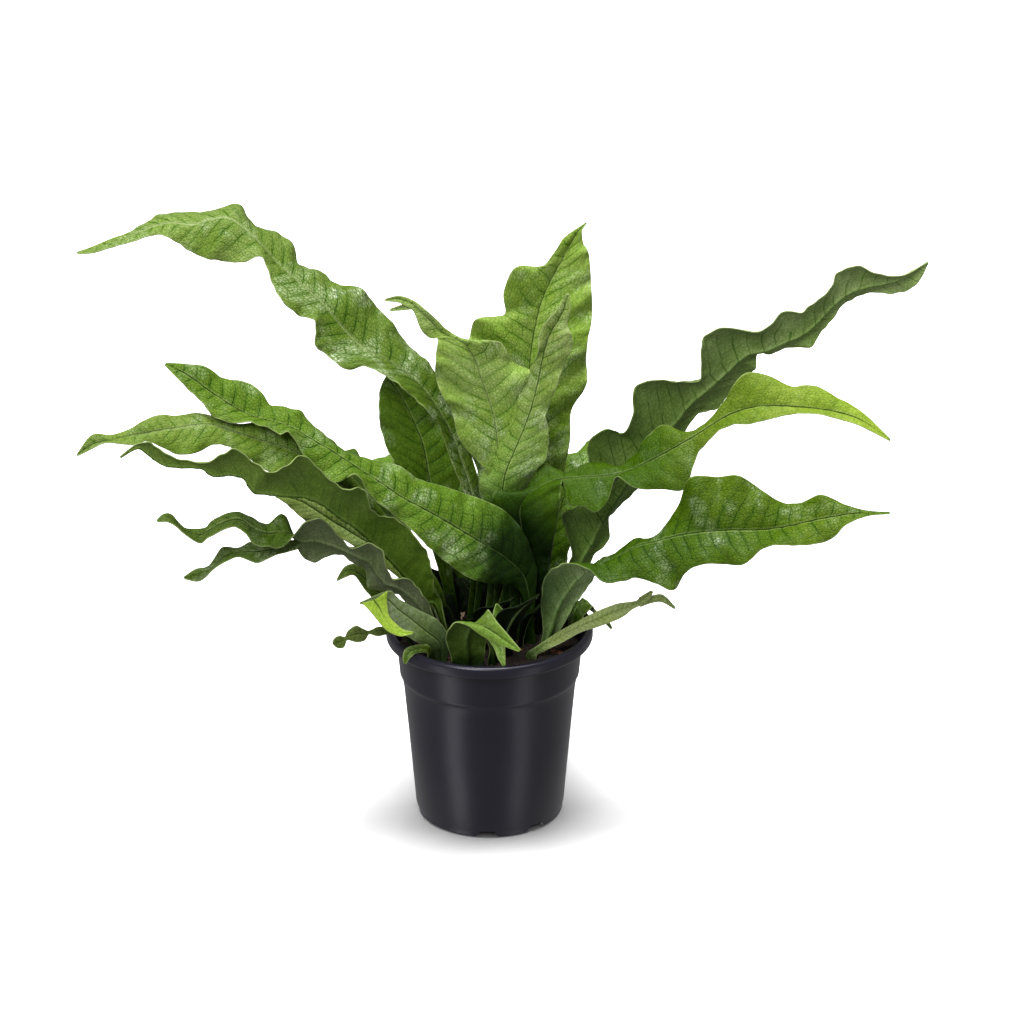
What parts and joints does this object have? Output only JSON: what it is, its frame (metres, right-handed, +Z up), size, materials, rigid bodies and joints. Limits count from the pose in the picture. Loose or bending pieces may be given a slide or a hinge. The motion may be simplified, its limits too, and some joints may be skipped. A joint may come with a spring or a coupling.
{
  "type": "potted crocodile fern",
  "caption": "Crocodile fern with strap-like, wavy-edged fronds, standing in soil in a dark round plastic nursery pot.",
  "frame": {"origin": "centre of the pot's flat base, where it rests", "axes": "+Z up along the pot's axis, +X to the right and +Y away from the one who looks at the front"},
  "size_m": [0.5606, 0.3065, 0.4176],
  "materials": {
    "frond_fresh": "satin, netted relief",
    "frond_deep": "satin, netted relief",
    "frond_lime": "satin, netted relief",
    "soil": "rough peat with bark",
    "pot": "satin, dark blue-black"
  },
  "bodies": {
    "root": {"frond_long_left": "frond_fresh", "frond_back_left_upright": "frond_deep", "frond_tall_centre": "frond_fresh", "frond_forked_centre": "frond_fresh", "frond_folded_centre": "frond_fresh", "frond_broad_front_left": "frond_fresh", "frond_folded_left": "frond_fresh", "frond_pale_left": "frond_lime", "frond_low_forked_left": "frond_deep", "frond_small_dark_left": "frond_deep", "frond_pale_small_left": "frond_lime", "frond_lime_left": "frond_lime", "frond_beaded_left": "frond_deep", "frond_curled_rim_left": "frond_lime", "frond_folded_front": "frond_lime", "frond_drooping_front": "frond_lime", "frond_small_front": "frond_lime", "frond_low_right": "frond_lime", "frond_broad_right": "frond_fresh", "frond_lime_right": "frond_lime", "frond_long_right": "frond_deep", "frond_back_tall": "frond_fresh", "frond_back_left": "frond_fresh", "frond_back_right": "frond_fresh", "frond_back_low": "frond_deep", "frond_back_low_right": "frond_deep", "frond_back_short": "frond_lime", "frond_left_rear": "frond_deep", "soil": "soil", "pot": "pot"}
  },
  "joints": []
}
